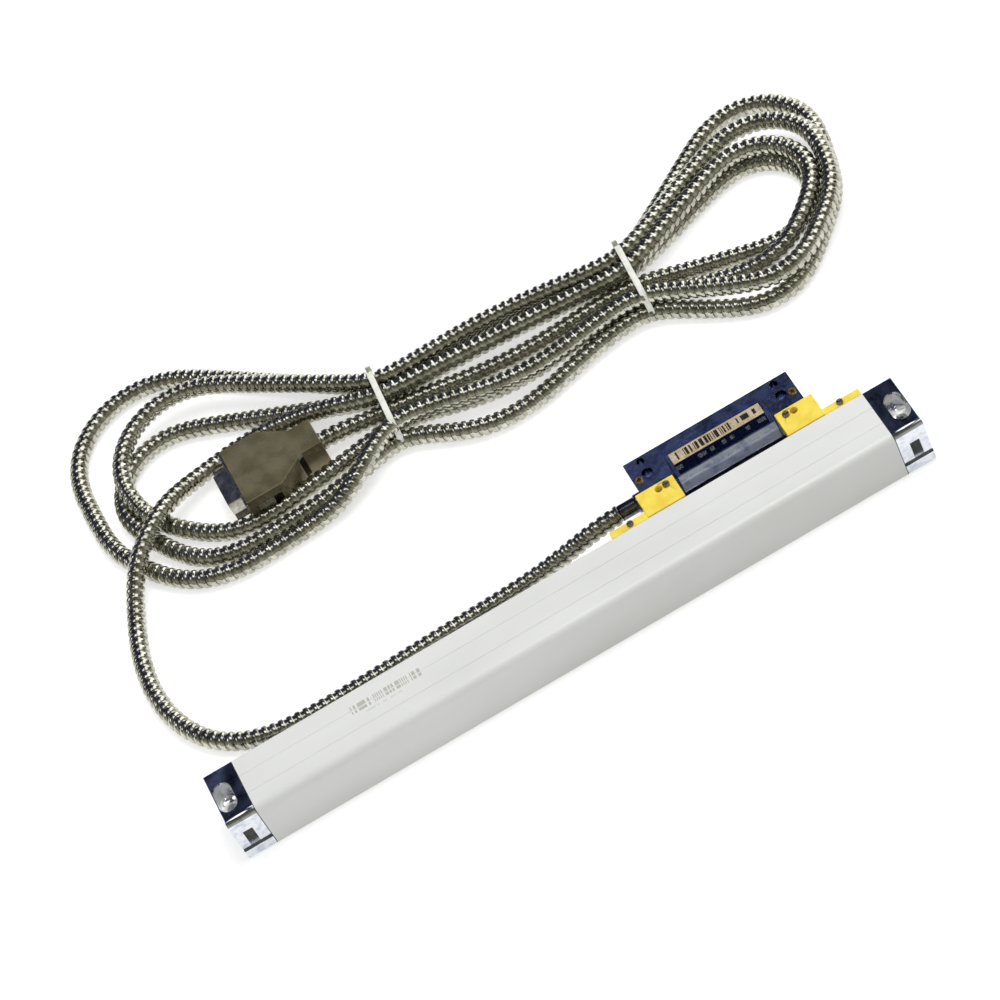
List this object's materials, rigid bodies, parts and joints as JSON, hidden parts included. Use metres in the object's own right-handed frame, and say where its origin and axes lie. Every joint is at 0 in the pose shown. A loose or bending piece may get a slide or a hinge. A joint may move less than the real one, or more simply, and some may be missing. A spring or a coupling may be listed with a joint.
{
  "type": "linear glass scale",
  "caption": "Enclosed linear glass scale: slim aluminium housing with cast end caps, a sliding reader head with spacer brackets, and an armoured cable bound in a hank with its plug.",
  "frame": {"origin": "middle of the housing's flat mounting face, half way between its two mounting holes", "axes": "+X along the scale, cable leaves the head towards -X; +Y towards the reader head; +Z away from the machine face"},
  "size_m": [0.3461, 0.2391, 0.0258],
  "materials": {
    "anodised_rail": "satin clear anodised extrusion",
    "cast_chrome": "polished chrome plate on a zinc casting",
    "seal_rubber": "matt moulded rubber",
    "screw_steel": "zinc plated steel",
    "scale_glass": "ground and polished, fine graduations",
    "cover_alloy": "satin sheet",
    "circuit_board": "solder mask over glass fibre laminate",
    "label_foil": "printed metallised foil",
    "level_brass": "turned brass",
    "spring_steel": "ground spring steel",
    "carriage_alloy": "black anodised",
    "diode_silicon": "dark silicon dies",
    "lamp_lens": "clear moulded lens",
    "bearing_steel": "ground bearing steel",
    "bracket_yellow": "satin yellow powder coat",
    "gland_chrome": "dark nickel plate",
    "hose_steel": "strip wound stainless steel",
    "tie_nylon": "natural nylon",
    "hood_nickel": "nickel plated cast hood",
    "shell_tin": "tin plated pressed steel",
    "insert_black": "moulded glass filled nylon",
    "contact_gold": "gold flashed brass"
  },
  "bodies": {
    "housing": {"housing_extrusion": "anodised_rail", "end_cap_left": "cast_chrome", "end_cap_right": "cast_chrome", "end_seal_left": "seal_rubber", "end_seal_right": "seal_rubber", "cap_screws": "screw_steel", "glass_scale": "scale_glass", "glass_wedge": "seal_rubber", "lip_seal_upper": "seal_rubber", "lip_seal_lower": "seal_rubber"},
    "reader": {"reader_housing": "cast_chrome", "reader_cover": "cover_alloy", "cover_seal": "seal_rubber", "cover_screws": "screw_steel", "signal_board": "circuit_board", "label_plate": "label_foil", "levelling_screws": "level_brass", "coupling_blade": "spring_steel", "coupling_pin": "bearing_steel", "coupling_spring": "spring_steel", "carriage_frame": "carriage_alloy", "index_glass": "scale_glass", "photodiode_board": "circuit_board", "photodiodes": "diode_silicon", "lamp_board": "circuit_board", "lamp_led": "lamp_lens", "bearing_pins": "bearing_steel", "bracket_left": "bracket_yellow", "bracket_right": "bracket_yellow", "bracket_screws": "screw_steel", "tab_screws": "screw_steel", "cable_gland": "gland_chrome", "hose_lead": "hose_steel", "hose_hank": "hose_steel", "zip_tie_left": "tie_nylon", "zip_tie_right": "tie_nylon", "connector_hood_lower": "hood_nickel", "connector_hood_upper": "hood_nickel", "connector_flange": "shell_tin", "connector_insert": "insert_black", "connector_pins": "contact_gold"},
    "face_bearing_left": {"face_bearing_left": "bearing_steel"},
    "face_bearing_right": {"face_bearing_right": "bearing_steel"},
    "face_bearing_middle": {"face_bearing_middle": "bearing_steel"},
    "edge_bearing_left": {"edge_bearing_left": "bearing_steel"},
    "edge_bearing_right": {"edge_bearing_right": "bearing_steel"},
    "jack_screw_left": {"jack_screw_left": "screw_steel"},
    "jack_screw_right": {"jack_screw_right": "screw_steel"}
  },
  "joints": [
    {"name": "reader_slide", "type": "slide", "parent": "housing", "child": "reader", "axis": [1, 0, 0], "range_m": [-0.1665, 0.0035]},
    {"name": "face_bearing_left_spin", "type": "hinge", "parent": "reader", "child": "face_bearing_left", "pos_m": [0.0645, 0.00005, 0.0085], "axis": [0, 0, 1], "continuous": true},
    {"name": "face_bearing_right_spin", "type": "hinge", "parent": "reader", "child": "face_bearing_right", "pos_m": [0.0985, 0.00005, 0.0085], "axis": [0, 0, 1], "continuous": true},
    {"name": "face_bearing_middle_spin", "type": "hinge", "parent": "reader", "child": "face_bearing_middle", "pos_m": [0.0815, 0.00005, 0.015], "axis": [0, 0, 1], "continuous": true},
    {"name": "edge_bearing_left_spin", "type": "hinge", "parent": "reader", "child": "edge_bearing_left", "pos_m": [0.071, -0.00375, 0.01955], "axis": [0, 1, 0], "continuous": true},
    {"name": "edge_bearing_right_spin", "type": "hinge", "parent": "reader", "child": "edge_bearing_right", "pos_m": [0.092, -0.00375, 0.01955], "axis": [0, 1, 0], "continuous": true},
    {"name": "jack_screw_left_turn", "type": "hinge", "parent": "reader", "child": "jack_screw_left", "pos_m": [-0.082, 0.1305, 0.0075], "axis": [1, 0, 0], "continuous": true},
    {"name": "jack_screw_right_turn", "type": "hinge", "parent": "reader", "child": "jack_screw_right", "pos_m": [-0.082, 0.1555, 0.0075], "axis": [1, 0, 0], "continuous": true}
  ],
  "couplings": [
    {"joint": "face_bearing_left_spin", "follows": "reader_slide", "rad_per_m": -500},
    {"joint": "face_bearing_right_spin", "follows": "reader_slide", "rad_per_m": -500},
    {"joint": "face_bearing_middle_spin", "follows": "reader_slide", "rad_per_m": -500},
    {"joint": "edge_bearing_left_spin", "follows": "reader_slide", "rad_per_m": 500},
    {"joint": "edge_bearing_right_spin", "follows": "reader_slide", "rad_per_m": 500}
  ]
}
